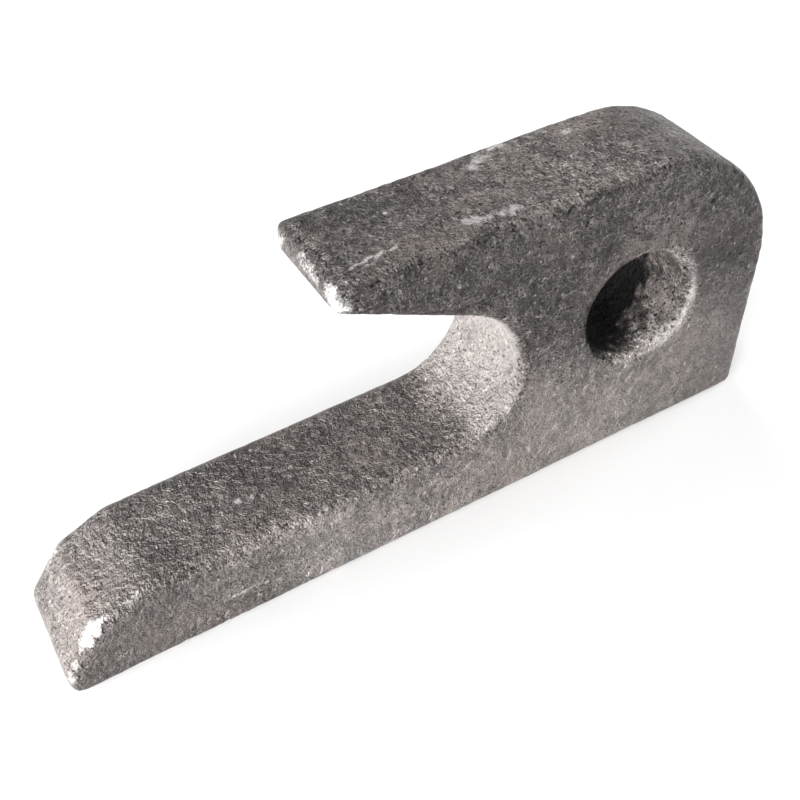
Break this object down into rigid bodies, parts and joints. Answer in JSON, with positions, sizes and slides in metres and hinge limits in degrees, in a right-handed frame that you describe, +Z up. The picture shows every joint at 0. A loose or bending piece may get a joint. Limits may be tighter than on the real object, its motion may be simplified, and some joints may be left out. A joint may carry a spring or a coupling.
{
  "type": "excavator bucket tooth",
  "caption": "One-piece cast steel bucket tooth with a long bevelled lower leg, a short wedge jaw over a round-rooted mouth, and a cross bore in the rear block.",
  "frame": {"origin": "centre of the footprint: mid length and mid width, on the flat underside", "axes": "+X from the nose of the leg to the rear block, +Y across the width, +Z up from the underside to the jaw"},
  "size_m": [0.1714, 0.028, 0.0719],
  "materials": {
    "cast_steel": "as-cast, shot-blasted low-alloy steel with a fine pebbled skin"
  },
  "bodies": {
    "root": {"tooth_casting": "cast_steel"}
  },
  "joints": []
}
